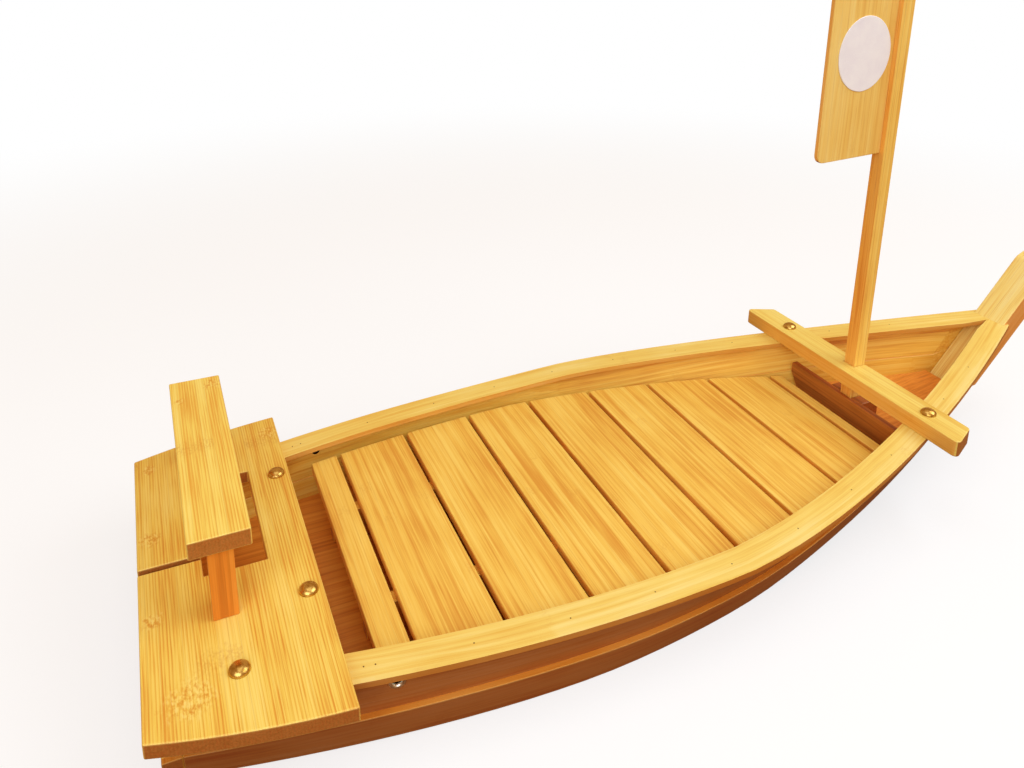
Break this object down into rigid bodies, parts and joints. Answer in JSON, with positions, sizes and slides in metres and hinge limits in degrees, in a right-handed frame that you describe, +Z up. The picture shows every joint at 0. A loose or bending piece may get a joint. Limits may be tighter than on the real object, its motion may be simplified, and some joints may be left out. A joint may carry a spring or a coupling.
{
  "type": "serving platter",
  "caption": "Boat shaped wooden serving platter with a stern deck and bench, a lift-out slatted floor, a raked prow and a lift-out mast with a sail board",
  "frame": {"origin": "middle of the boat's length and breadth, on the plane of its flat bottom", "axes": "+X to the bow, +Y to the far (port) side, +Z up"},
  "size_m": [0.7, 0.24, 0.38],
  "materials": {
    "bamboo_side": "satin lacquer",
    "bamboo_cap": "satin lacquer",
    "bamboo_deck": "satin lacquer",
    "bamboo_sail": "satin lacquer",
    "bamboo_floor": "satin lacquer",
    "label_paper": "satin blank label",
    "brass": "polished"
  },
  "bodies": {
    "hull": {"bottom_board": "bamboo_floor", "lower_strake_near": "bamboo_side", "lower_strake_far": "bamboo_side", "upper_strake_near": "bamboo_side", "upper_strake_far": "bamboo_side", "gunwale_cap_near": "bamboo_cap", "gunwale_cap_far": "bamboo_cap", "transom": "bamboo_side", "stern_deck": "bamboo_deck", "bench_board": "bamboo_deck", "bench_leg_near": "bamboo_deck", "bench_leg_far": "bamboo_deck", "fore_bulkhead": "bamboo_floor", "mast_step": "bamboo_floor", "crossbeam": "bamboo_cap", "stem_post": "bamboo_cap", "deck_domes": "brass", "beam_domes": "brass", "eyelets": "brass"},
    "floor_grid": {"slat_1": "bamboo_floor", "slat_2": "bamboo_floor", "slat_3": "bamboo_floor", "slat_4": "bamboo_floor", "slat_5": "bamboo_floor", "slat_6": "bamboo_floor", "slat_7": "bamboo_floor", "slat_8": "bamboo_floor", "slat_9": "bamboo_floor", "grid_runner_near": "bamboo_floor", "grid_runner_far": "bamboo_floor"},
    "mast_and_sail": {"mast": "bamboo_sail", "sail": "bamboo_sail", "sail_disc": "label_paper"}
  },
  "joints": [
    {"name": "floor_grid_lift", "type": "slide", "parent": "hull", "child": "floor_grid", "axis": [0, 0, 1], "range_m": [0, 0.09]},
    {"name": "mast_lift", "type": "slide", "parent": "hull", "child": "mast_and_sail", "axis": [0, 0, 1], "range_m": [0, 0.06]}
  ]
}
